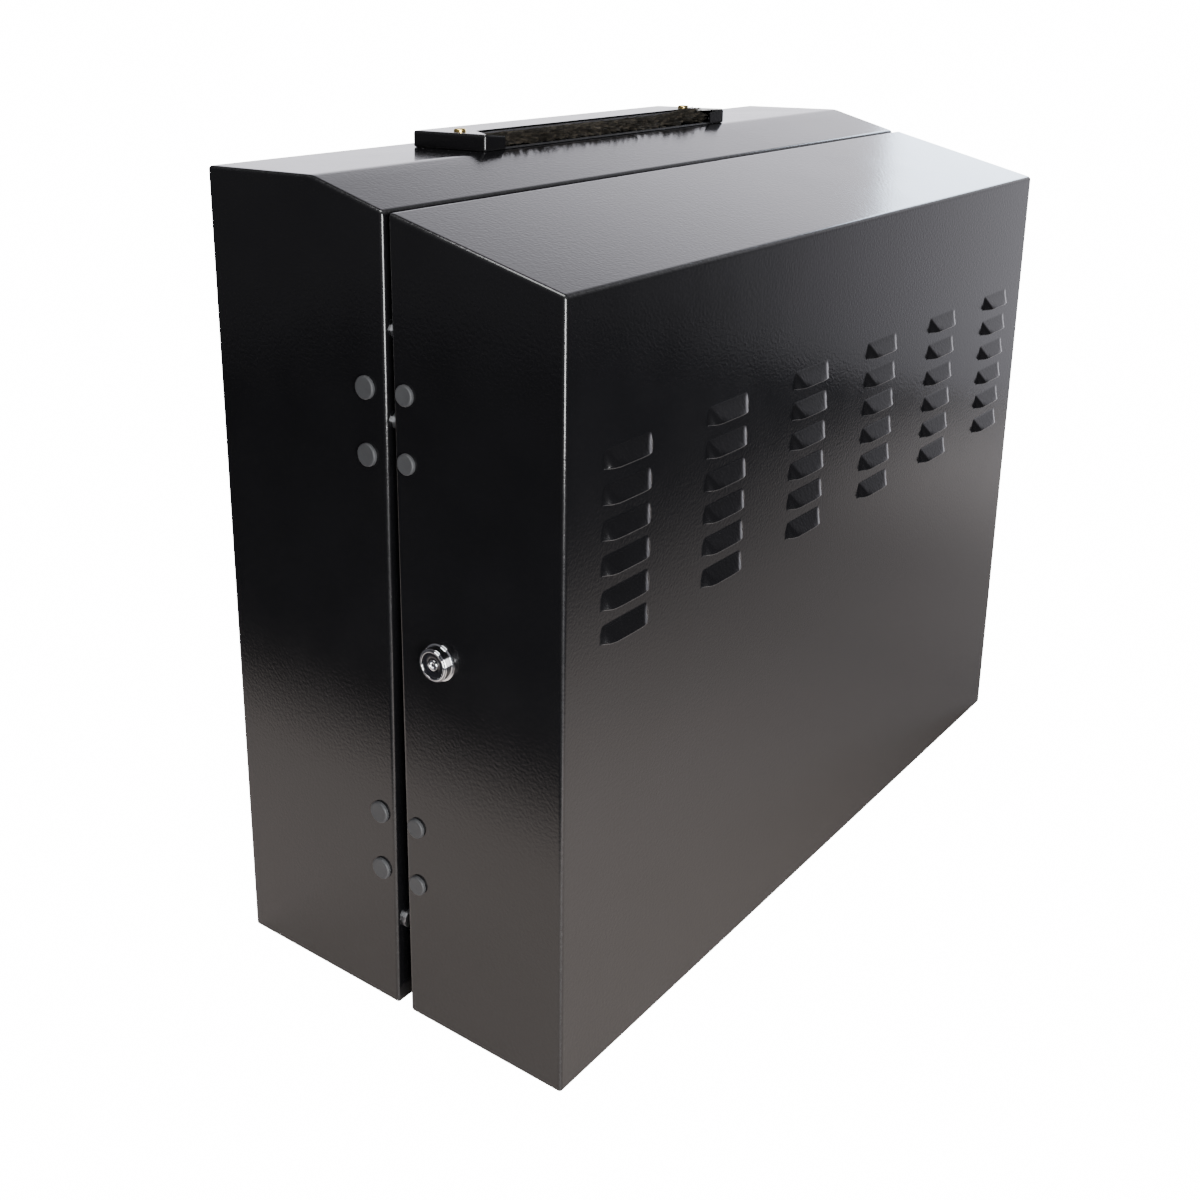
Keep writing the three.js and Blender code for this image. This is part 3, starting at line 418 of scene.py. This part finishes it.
def make_door():
    """The door: a box of bent sheet open at the rear, whose front carries the louvres. Its height grows
    evenly from the front to the rear, which slopes the top."""
    low, high = corners("door_shell")
    low[1] += LOUVRE_PROUD * MM
    rear_height = high[2] - low[2]
    high[2] -= DOOR_TOP_RISE * MM
    front_height = high[2] - low[2]
    stretch = rear_height / front_height

    half = LOUVRE_WIDTH / 2
    pitch = (high[0] * 2 / MM - 2 * LOUVRE_MARGIN - LOUVRE_WIDTH) / (LOUVRE_COLUMNS - 1)
    columns = (np.arange(LOUVRE_COLUMNS) - (LOUVRE_COLUMNS - 1) / 2) * pitch
    end = np.append(np.linspace(half - LOUVRE_END - 2, half, 16), half + BEND_SUPPORT)
    across = np.concatenate([-end, [-6, 0, 6], end])
    lips = high[2] - (LOUVRE_TOP_DROP + np.arange(LOUVRE_ROWS) * LOUVRE_ROW_PITCH) * MM
    up = np.append(np.linspace(0, LOUVRE_HEIGHT, 12), [-BEND_SUPPORT, LOUVRE_HEIGHT + BEND_SUPPORT])
    up = np.append(up, LOUVRE_HEIGHT * LIP_ROLL * np.array([0.35, 0.7])) * MM

    xs = grid_lines(bend_lines(low[0], high[0]), (columns[:, None] + across).ravel() * MM,
                    np.array([low[0] + DOOR_FLANGE * MM, high[0] - DOOR_FLANGE * MM]))
    ys = grid_lines(bend_lines(low[1], high[1]), np.linspace(low[1], high[1], 9)[1:-1])
    mouth = np.array([DOOR_FLANGE * MM, rear_height - DOOR_FLANGE * MM]) / stretch + low[2]
    zs = grid_lines(bend_lines(low[2], high[2]), (lips[:, None] + up).ravel(), mouth,
                    np.linspace(low[2], high[2], 14)[1:-5])
    zs = np.sort(np.append(zs, lips))
    lines = (xs, ys, zs)

    faces = [Face(axis, side, lines, low, high) for axis in range(3) for side in (-1, 1)]
    for face in faces:
        if face.axis == 1 and face.side > 0:
            face.cut(rectangle(low[0] + DOOR_FLANGE * MM, high[0] - DOOR_FLANGE * MM, *mouth, 0))
    below = np.append(np.diff(zs) == 0, False)
    for face in faces:
        flat = face.points.copy()
        face.wear = edge_wear(flat, low, high)
        face.points = round_box(flat, low, high)
        if face.axis == 1 and face.side < 0:
            x, z = flat[..., 0], flat[..., 2]
            nearest = np.argmin(np.abs(x[..., None] / MM - columns), axis=-1)
            u = (half - np.abs(x / MM - columns[nearest])) / LOUVRE_END
            row = np.argmin(np.abs(z[..., None] - lips - LOUVRE_HEIGHT / 2 * MM), axis=-1)
            v = 1 - (z - lips[row]) / (LOUVRE_HEIGHT * MM)
            inside = (v <= 1.0001) & (v >= 0) & (u > 0) & ~below[None, :]
            out = np.where(inside, louvre_height(np.clip(u, 0, 3), np.clip(v, 0, 1)), 0)
            face.points[..., 1] -= out * LOUVRE_PROUD * MM
            # A painted highlight along the rolled part of each louvre's lip.
            rolled = inside & (v > 1 - LIP_ROLL / 2) & (u > 0.1)
            face.wear = np.maximum(face.wear, LIP_HIGHLIGHT * rolled)
        back = np.clip((face.points[..., 1] - low[1]) / (high[1] - low[1]), 0, 1)
        rise = face.points[..., 2] - low[2]
        face.points[..., 2] = low[2] + rise * (1 + (stretch - 1) * back)
    points, quads = join_faces(faces)
    wear = np.concatenate([face.wear.ravel() for face in faces])
    new_piece("door_panel", points, quads, POWDER, "door", ["door_shell"], SHEET, wear)


# ---- Rear shell --------------------------------------------------------------------------------


def make_rear_shell():
    """The rear shell: a box of bent sheet open at the front. Its top falls from a soft ridge to the rim,
    and its depth shrinks evenly towards the base, which leans the rim."""
    low, high = corners("rear_shell")
    height = high[2] - low[2]
    rim_height = height - SHELL_TOP_RISE * MM
    depth = high[1] - low[1]
    ridge = high[1] - TOP_DEPTH * MM
    scale = rim_height / height

    hood_low, hood_high = corners("brush_hood")
    slot = (hood_low[0] + SLOT_INSET * MM, hood_high[0] - SLOT_INSET * MM,
            hood_low[1] + SLOT_LIP * MM, hood_low[1] + (HOOD_NOTCH_DEPTH - SLOT_LIP) * MM)
    cam_low, cam_high = corners("lock_cam")
    hook = np.array(HOOK_RISES) * MM
    hook_x = (cam_low[0] - HOOK_ROOM * MM, cam_high[0] + HOOK_ROOM * MM)

    fine = np.linspace(-KEYHOLE_HEAD - 1.5, KEYHOLE_HEAD + 1.5, 15) * MM
    tall = np.linspace(-KEYHOLE_HEAD - 1.5, KEYHOLE_TRAVEL + KEYHOLE_SHANK + 1.5, 25) * MM
    key_x = np.array([-KEYHOLE_X, KEYHOLE_X]) * MM
    key_z = low[2] + np.array(KEYHOLE_RISES) * MM
    flange_x = np.array([low[0] + SHELL_FLANGE * MM, high[0] - SHELL_FLANGE * MM])
    mouth = low[2] + np.array([SHELL_FLANGE * MM, rim_height - SHELL_FLANGE * MM]) / scale
    xs = grid_lines(bend_lines(low[0], high[0]), (key_x[:, None] + fine).ravel(), flange_x, hook_x,
                    slot[:2], np.linspace(low[0], high[0], 12)[1:-1])
    soft = RIDGE_SOFTNESS * MM
    ys = grid_lines(bend_lines(low[1], high[1]), np.linspace(ridge - soft, ridge + soft, 5), slot[2:],
                    np.linspace(low[1], high[1], 8)[1:-1])
    zs = grid_lines(bend_lines(low[2], high[2]), (key_z[:, None] + tall).ravel(), mouth,
                    low[2] + hook / scale, np.linspace(low[2], high[2], 14)[1:-1])
    lines = (xs, ys, zs)

    faces = {(axis, side): Face(axis, side, lines, low, high) for axis in range(3) for side in (-1, 1)}
    for x in key_x:
        for z in key_z:
            faces[1, 1].cut(keyhole(x, z))
    faces[2, 1].cut(rectangle(*slot, 0))
    faces[1, -1].cut(rectangle(*flange_x, *mouth, 0))
    faces[1, -1].cut(rectangle(*hook_x, *(low[2] + hook / scale), 0))
    for face in faces.values():
        face.wear = edge_wear(face.points, low, high)
        face.points = round_box(face.points, low, high)
        ahead = ridge - face.points[..., 1]
        fall = np.where(ahead > soft, ahead, np.clip(ahead + soft, 0, None) ** 2 / (4 * soft))
        fall = fall * SHELL_TOP_RISE * MM / (depth - TOP_DEPTH * MM)
        rise = (face.points[..., 2] - low[2]) * (1 - fall / height)
        face.points[..., 2] = low[2] + rise
        lean = LEAN * np.clip(rim_height - rise, 0, None)
        face.points[..., 1] = high[1] + (face.points[..., 1] - high[1]) * (1 - lean / depth)
    points, quads = join_faces(faces.values())
    wear = np.concatenate([face.wear.ravel() for face in faces.values()])
    new_piece("rear_panel", points, quads, POWDER, "case", ["rear_shell"], SHEET, wear)


# ---- Brush hood --------------------------------------------------------------------------------


def make_hood():
    """The hood: a shallow box of bent sheet with a notch across its top and front, a slot in its floor, and
    a tapered tab left at each end of its front."""
    low, high = corners("brush_hood")
    tab = HOOD_TAB * MM
    notch = low[1] + HOOD_NOTCH_DEPTH * MM
    tip = low[0] + tab, high[0] - tab
    ends = np.concatenate([low[0] + np.linspace(0.002, 0.024, 23), high[0] - np.linspace(0.002, 0.024, 23)])
    xs = grid_lines(bend_lines(low[0], high[0], HOOD_BEND), ends, tip, np.linspace(tip[0], tip[1], 14))
    ys = grid_lines(bend_lines(low[1], high[1], HOOD_BEND), low[1] + np.linspace(0.002, 0.026, 21), notch)
    zs = grid_lines(bend_lines(low[2], high[2], HOOD_BEND))
    lines = (xs, ys, zs)
    wall = HOOD_SHEET * MM

    def notch_edge(x, y):
        """Signed distance from the notch: the furthest out of its rear edge and its two slanting ends."""
        run, rise = tab - wall, notch - low[1]
        length = np.hypot(run, rise)
        left = ((low[0] + wall - x) * rise + (y - low[1]) * run) / length
        right = ((x - high[0] + wall) * rise + (y - low[1]) * run) / length
        return np.maximum(np.maximum(left, right), y - notch)

    def front_gap(x, z):
        """Signed distance from the gap between the tabs."""
        return np.maximum(tip[0] - x, x - tip[1]) + 0 * z

    faces = {(axis, side): Face(axis, side, lines, low, high) for axis in range(3) for side in (-1, 1)}
    faces[2, 1].cut(notch_edge)
    faces[1, -1].cut(front_gap)
    lip = SLOT_LIP * MM
    faces[2, -1].cut(rectangle(tip[0] + lip, tip[1] - lip, low[1] + lip, notch - lip, 0))
    for key, face in faces.items():
        face.wear = edge_wear(face.points, low, high)
        face.points = round_box(face.points, low, high, HOOD_BEND)
        if key == (1, -1):
            along = np.minimum(face.points[..., 0] - low[0], high[0] - face.points[..., 0])
            along = np.clip((along - 3 * MM) / (tab - 3 * MM), 0, 1)
            rise = face.points[..., 2] - low[2]
            face.points[..., 2] = low[2] + rise * (1 - along * HOOD_TAB_TAPER * MM / (high[2] - low[2]))
    points, quads = join_faces(faces.values())
    wear = np.concatenate([face.wear.ravel() for face in faces.values()])
    new_piece("hood_panel", points, quads, POWDER, "case", ["brush_hood"], HOOD_SHEET, wear)


def make_bristles():
    """The brush: thin three-sided fibres that fan out from the holder to the hood's front, each bent and
    faded as its tuft is. Their ends are uneven, and those near the right end stand up, as where a cable has
    pushed them."""
    rng = np.random.default_rng(7)
    low, high = corners("brush_bristles")
    hood_low, hood_high = corners("brush_hood")
    floor, roof = hood_low[2] + 1.0 * MM, hood_high[2] - 0.4 * MM
    tuft_x = rng.uniform(low[0] + 0.3 * MM, high[0] - 0.3 * MM, TUFTS)
    tuft_bend = rng.uniform(-1.8, 1.8, TUFTS) * MM
    tuft_reach = (high[1] - low[1]) * rng.uniform(0.72, 0.97, TUFTS)
    crest = np.exp(-((tuft_x - (high[0] - CREST_INSET * MM)) / (CREST_WIDTH * MM)) ** 2)
    tuft_z = rng.uniform(floor, roof, TUFTS) + crest * rng.uniform(0.6, 4.4, TUFTS) * MM
    tuft_shade = rng.uniform(0, 1, TUFTS) ** 3

    tuft = rng.integers(0, TUFTS, FIBRES)
    steps = np.linspace(0, 1, 5)
    root_x = tuft_x[tuft] + rng.normal(0, 0.35, FIBRES) * MM
    root_z = rng.uniform(low[2] + 0.2 * MM, high[2] - 0.2 * MM, FIBRES)
    tip_x = root_x + tuft_bend[tuft] + rng.normal(0, 0.3, FIBRES) * MM
    reach = tuft_reach[tuft] + rng.uniform(0, 0.3, FIBRES) * MM
    tip_z = np.maximum(tuft_z[tuft] + rng.normal(0, 0.35, FIBRES) * MM, floor)
    x = root_x[:, None] + (tip_x - root_x)[:, None] * steps ** 2
    y = high[1] - reach[:, None] * steps
    z = root_z[:, None] + (tip_z - root_z)[:, None] * steps ** 1.6
    radius = FIBRE_RADIUS * MM * (1 - FIBRE_TAPER * steps)
    turn = np.arange(3) * 2 * np.pi / 3
    points = np.empty((FIBRES, len(steps), 3, 3))
    points[..., 0] = x[:, :, None] + radius[None, :, None] * np.cos(turn)
    points[..., 1] = y[:, :, None]
    points[..., 2] = z[:, :, None] + radius[None, :, None] * np.sin(turn)
    points[..., 0] = np.clip(points[..., 0], low[0], high[0])
    one = grid_quads((len(steps), 3), wrap=True).reshape(-1, 4)
    quads = one[None] + np.arange(FIBRES)[:, None, None] * len(steps) * 3
    shade = np.repeat(tuft_shade[tuft], len(steps) * len(turn))
    new_piece("brush_fibres", points, quads, BRISTLE, "case", ["brush_bristles"],
              wear=shade, sharp=180)


# ---- Turned pieces -----------------------------------------------------------------------------


def turned(profile, centre, direction, around=56, dent=None):
    """Points and quads of a turned surface: (radius, height) pairs in millimetres swept round the axis that
    leaves centre along direction. dent(a, b) lowers the surface by millimetres at a place across it."""
    profile = np.asarray(profile, float)
    axis = np.array(direction, float)
    first = np.array([0.0, 0.0, 1.0]) if abs(axis[2]) < 0.5 else np.array([1.0, 0.0, 0.0])
    second = np.cross(axis, first)
    angle = np.arange(around) * 2 * np.pi / around
    a = profile[:, :1] * np.cos(angle)
    b = profile[:, :1] * np.sin(angle)
    up = np.repeat(profile[:, 1:], around, axis=1)
    if dent is not None:
        up = up - dent(a, b)
    points = np.array(centre) + MM * (a[..., None] * first + b[..., None] * second + up[..., None] * axis)
    return points, grid_quads(a.shape, wrap=True)


def arc(radius, height, size, start, stop, count=6):
    """Profile points on a circle of a given size about (radius, height), between two angles in degrees."""
    angle = np.radians(np.linspace(start, stop, count))
    return np.stack([radius + size * np.cos(angle), height + size * np.sin(angle)], axis=-1)


def make_plugs():
    """The hole plugs: a low button with a rounded edge and a face that is slightly dished."""
    for body, group in (("case", "shell"), ("door", "door")):
        for number in range(1, 5):
            node = f"plug_{group}_{number}"
            low, high = corners(node)
            radius = (high[2] - low[2]) / 2 / MM
            middle = (low + high) / 2
            side = np.array([-corners("door_shell")[1][0], middle[1], middle[2]])
            proud = (side[0] - low[0]) / MM
            edge = 0.9
            face = np.linspace(radius - edge, 0, 8)
            top = proud - 0.18 * (1 - (face / (radius - edge)) ** 2)
            profile = np.concatenate([
                [[0, -6], [2.6, -6], [3.0, -5.2], [3.4, -2.2], [2.9, -1.6], [2.9, 0.02], [radius, 0.02]],
                arc(radius - edge, proud - edge, edge, 0, 90), np.stack([face, top], axis=-1)[1:]])
            points, quads = turned(profile, side, (-1, 0, 0))
            new_piece(f"hole_plug_{group}_{number}", points, quads, PLUG_PLASTIC, body, [node])


def cross_recess(a, b):
    """Depth of a cross recess: two crossed bars with sloping sides, deepest in the middle."""
    bar = np.minimum(np.abs(a), np.abs(b))
    reach = np.maximum(np.abs(a), np.abs(b))
    across = np.clip((RECESS_BAR - bar) / RECESS_BAR_SLOPE, 0, 1)
    return across * np.clip((RECESS_REACH - reach) / RECESS_REACH_SLOPE, 0, 1)


def make_hood_screws():
    """The hood's screws: a pan head with a cross recess, and a shank."""
    for end in ("left", "right"):
        node = f"hood_screw_{end}"
        low, high = corners(node)
        middle = (low + high) / 2
        seat = corners("brush_hood")[1][2] + 0.02 * MM
        radius = (high[0] - low[0]) / 2 / MM
        tall = (high[2] - seat) / MM
        ring = np.linspace(radius - 0.9, 0, 22)
        top = tall - 0.25 * (ring / radius) ** 2
        shank = (low[2] - seat) / MM
        profile = np.concatenate([
            [[0, shank], [1.6, shank], [2, shank + 0.6], [2, 0], [radius, 0]],
            arc(radius - 0.9, tall - 1.1, 0.9, 0, 78), np.stack([ring, top], axis=-1)])
        heads = np.where(np.arange(len(profile)) > 5, 1.0, 0.0)[:, None]
        points, quads = turned(profile, (middle[0], middle[1], seat), (0, 0, 1), 64,
                               lambda a, b, part=heads: cross_recess(a, b) * part)
        new_piece(f"pan_screw_{end}", points, quads, YELLOW_ZINC, "case", [node])


def make_lock():
    """The lock: a chrome barrel with a stepped cone, a black disc sunk in it, and a chrome post with a
    hollow end."""
    low, high = corners("lock_barrel")
    middle = (low + high) / 2
    side = np.array([-corners("door_shell")[1][0], middle[1], middle[2]])
    reach = -(high[0] - side[0]) / MM
    barrel = np.concatenate([
        [[4.58, reach], [8, reach], [8, 0.02], [9.6, 0.02]],
        arc(9.65, 0.4, 0.35, -80, 80, 5), [[9.1, 0.95], [8.95, 1.15], [8.9, 1.5]],
        arc(8.5, 4.9, 0.45, 5, 60, 4), [[8.35, 5.25], [8.15, 5.3]],
        arc(7.65, 5.6, 0.4, 10, 90, 5), arc(7.25, 5.72, 0.27, 90, 180, 5), [[6.98, 3.5], [4.58, 3.5],
                                                                           [4.58, reach]]])
    points, quads = turned(barrel, side, (-1, 0, 0), 96)
    new_piece("lock_collar", points, quads, CHROME, "door", ["lock_barrel"], sharp=30)

    disc = np.concatenate([
        [[0, reach - 0.02], [4.5, reach - 0.02], [4.5, 3.7], [6.9, 3.7]], arc(6.7, 5.3, 0.2, 0, 90, 4),
        [[4.6, 5.45], [4.2, 5.3], [3.6, 4.6], [2.95, 4.5], [2.92, 4.02], [0, 4.0]]])
    points, quads = turned(disc, side, (-1, 0, 0), 72)
    new_piece("lock_disc", points, quads, LOCK_BLACK, "lock", ["lock_plug"], sharp=30)

    post = np.concatenate([[[0, 4.02], [2.9, 4.02], [2.9, 5.1]], arc(2.6, 5.15, 0.3, 0, 90, 4),
                           [[1.7, 5.5], [1.5, 5.3], [1.3, 4.7], [0.6, 4.5], [0, 4.5]]])
    points, quads = turned(post, side, (-1, 0, 0), 48)
    new_piece("lock_pin", points, quads, CHROME, "lock", ["lock_post"], sharp=30)


def finish_cad_nodes():
    """Gives every CAD node that stays its own finish, by the record's slot and by what it is."""
    slots = {part["node"]: part["material_slot"] for part in frame["record"]["subparts"]}
    finishes = {"powder_coat": HINGE_COAT, "zinc_steel": ZINC, "black_plastic": PLUG_PLASTIC,
                "chrome": CHROME, "lock_black": LOCK_BLACK, "yellow_zinc": YELLOW_ZINC,
                "bristle_fibre": BRISTLE}
    for name, node in frame["nodes"].items():
        node.data.materials.clear()
        rolled = name in ("rail_left", "rail_right", "brush_holder")
        node.data.materials.append(BRUSHED_ZINC if rolled else finishes[slots[name]])


# ---- Stage -------------------------------------------------------------------------------------


def make_floor():
    """A pale floor just under the cabinet's base. The camera sees it as white as the room. Light and
    reflections meet painted light and shade along it, a paleness that changes by place as the floor's table
    says."""
    base = corners("rear_shell")[0][2] - 0.0002
    mesh = bpy.data.meshes.new("floor")
    near, far = FLOOR_SPAN
    mesh.from_pydata([(near, near, base), (far, near, base), (far, far, base), (near, far, base)], [],
                     [(0, 1, 2, 3)])
    floor = bpy.data.objects.new("floor", mesh)
    bpy.context.scene.collection.objects.link(floor)
    mat = surface("pale floor", (0.8, 0.71, 0.66), 0.85, grain=(40, 0.05), mottle=0.01)
    nodes, links = mat.node_tree.nodes, mat.node_tree.links
    shader = nodes["Principled BSDF"]
    place = nodes.new("ShaderNodeSeparateXYZ")
    links.new(nodes["Texture Coordinate"].outputs["Object"], place.inputs["Vector"])

    shade = None
    for output, start, stop, first, last in FLOOR_PAINTED_LIGHT_AND_SHADE:
        fade = nodes.new("ShaderNodeMapRange")
        fade.interpolation_type = "SMOOTHSTEP"
        for name, value in zip(("From Min", "From Max", "To Min", "To Max"), (start, stop, first, last)):
            fade.inputs[name].default_value = value
        links.new(place.outputs[output], fade.inputs["Value"])
        if shade is None:
            shade = fade.outputs["Result"]
            continue
        both = nodes.new("ShaderNodeMath")
        both.operation = "MULTIPLY"
        links.new(shade, both.inputs[0])
        links.new(fade.outputs["Result"], both.inputs[1])
        shade = both.outputs["Value"]
    # Painted light and shade: the floor's colour runs from this dark grey to its pale colour by the product
    # of the table's fades.
    tint = nodes.new("ShaderNodeMix")
    tint.data_type = "RGBA"
    tint.inputs["A"].default_value = (0.03, 0.03, 0.035, 1)
    links.new(shade, tint.inputs["Factor"])
    links.new(nodes["Color Ramp"].outputs["Color"], tint.inputs["B"])
    links.new(tint.outputs["Result"], shader.inputs["Base Color"])
    glow = nodes.new("ShaderNodeEmission")
    glow.inputs["Strength"].default_value = WHITE
    path = nodes.new("ShaderNodeLightPath")
    pick = nodes.new("ShaderNodeMixShader")
    links.new(path.outputs["Is Camera Ray"], pick.inputs["Fac"])
    links.new(shader.outputs["BSDF"], pick.inputs[1])
    links.new(glow.outputs["Emission"], pick.inputs[2])
    links.new(pick.outputs["Shader"], nodes["Material Output"].inputs["Surface"])
    mesh.materials.append(mat)


def area_light(name, place, target, size, power, color):
    """A rectangular soft light at a place, turned to face a target."""
    light = bpy.data.lights.new(name, "AREA")
    light.shape = "RECTANGLE"
    light.size, light.size_y = size
    light.energy = power
    light.color = color
    lamp = bpy.data.objects.new(name, light)
    lamp.location = place
    lamp.rotation_euler = (Vector(target) - Vector(place)).to_track_quat("-Z", "Y").to_euler()
    bpy.context.scene.collection.objects.link(lamp)


def make_world():
    """A studio's surroundings: white where the camera sees them. For reflections, a white wall low down
    behind the cabinet's right, which fades round both ways and upwards, and a dim room elsewhere."""
    world = bpy.data.worlds.new("studio")
    bpy.context.scene.world = world
    world.use_nodes = True
    nodes, links = world.node_tree.nodes, world.node_tree.links
    nodes.clear()
    coord = nodes.new("ShaderNodeTexCoord")

    def ramp(direction, stops, tint):
        """A tinted grey that follows a list of (place, value) stops along a direction, from -1 behind to
        1."""
        along = nodes.new("ShaderNodeVectorMath")
        along.operation = "DOT_PRODUCT"
        along.inputs[1].default_value = direction
        links.new(coord.outputs["Generated"], along.inputs[0])
        place = nodes.new("ShaderNodeMapRange")
        place.inputs["From Min"].default_value = -1
        links.new(along.outputs["Value"], place.inputs["Value"])
        node = nodes.new("ShaderNodeValToRGB")
        elements = node.color_ramp.elements
        while len(elements) < len(stops):
            elements.new(0.5)
        for element, (position, value) in zip(elements, stops):
            element.position = (position + 1) / 2
            element.color = (*[value * part for part in tint], 1)
        links.new(place.outputs["Result"], node.inputs["Fac"])
        return node.outputs["Color"]

    level = ramp((0, 0, 1), WALL_BY_HEIGHT, (1, 1, 1))
    turn = ramp(WALL_MIDDLE, WALL_BY_TURN, WALL_TINT)
    wall = nodes.new("ShaderNodeMix")
    wall.data_type = "RGBA"
    wall.blend_type = "MULTIPLY"
    wall.inputs["Factor"].default_value = 1
    links.new(level, wall.inputs["A"])
    links.new(turn, wall.inputs["B"])
    room = nodes.new("ShaderNodeBackground")
    room.inputs["Strength"].default_value = WALL_STRENGTH
    links.new(wall.outputs["Result"], room.inputs["Color"])
    white = nodes.new("ShaderNodeBackground")
    white.inputs["Color"].default_value = (1, 1, 1, 1)
    white.inputs["Strength"].default_value = WHITE
    path = nodes.new("ShaderNodeLightPath")
    pick = nodes.new("ShaderNodeMixShader")
    links.new(path.outputs["Is Camera Ray"], pick.inputs["Fac"])
    links.new(room.outputs["Background"], pick.inputs[1])
    links.new(white.outputs["Background"], pick.inputs[2])
    out = nodes.new("ShaderNodeOutputWorld")
    links.new(pick.outputs["Shader"], out.inputs["Surface"])


def make_camera():
    """A camera above and to the left of the cabinet's front, with its lens shifted as the view needs."""
    azimuth, elevation, roll = np.radians(CAMERA_TURNS)
    back = np.array([np.sin(azimuth) * np.cos(elevation), -np.cos(azimuth) * np.cos(elevation),
                     np.sin(elevation)])
    right = np.cross([0, 0, 1], back)
    right /= np.linalg.norm(right)
    up = np.cross(back, right)
    across = np.cos(roll) * right + np.sin(roll) * up
    upward = np.cos(roll) * up - np.sin(roll) * right
    data = bpy.data.cameras.new("camera")
    data.sensor_width = 36
    data.lens = CAMERA_LENS
    data.shift_x, data.shift_y = CAMERA_SHIFT
    data.clip_start, data.clip_end = 0.01, 20
    camera = bpy.data.objects.new("camera", data)
    turn = Matrix((across, upward, back)).transposed().to_4x4()
    camera.matrix_world = Matrix.Translation(CAMERA_PLACE) @ turn
    bpy.context.scene.collection.objects.link(camera)
    bpy.context.scene.camera = camera


finish_cad_nodes()
make_door()
make_rear_shell()
make_hood()
make_bristles()
make_plugs()
make_hood_screws()
make_lock()
make_floor()
make_world()
make_camera()
for light in LIGHTS:
    area_light(*light)
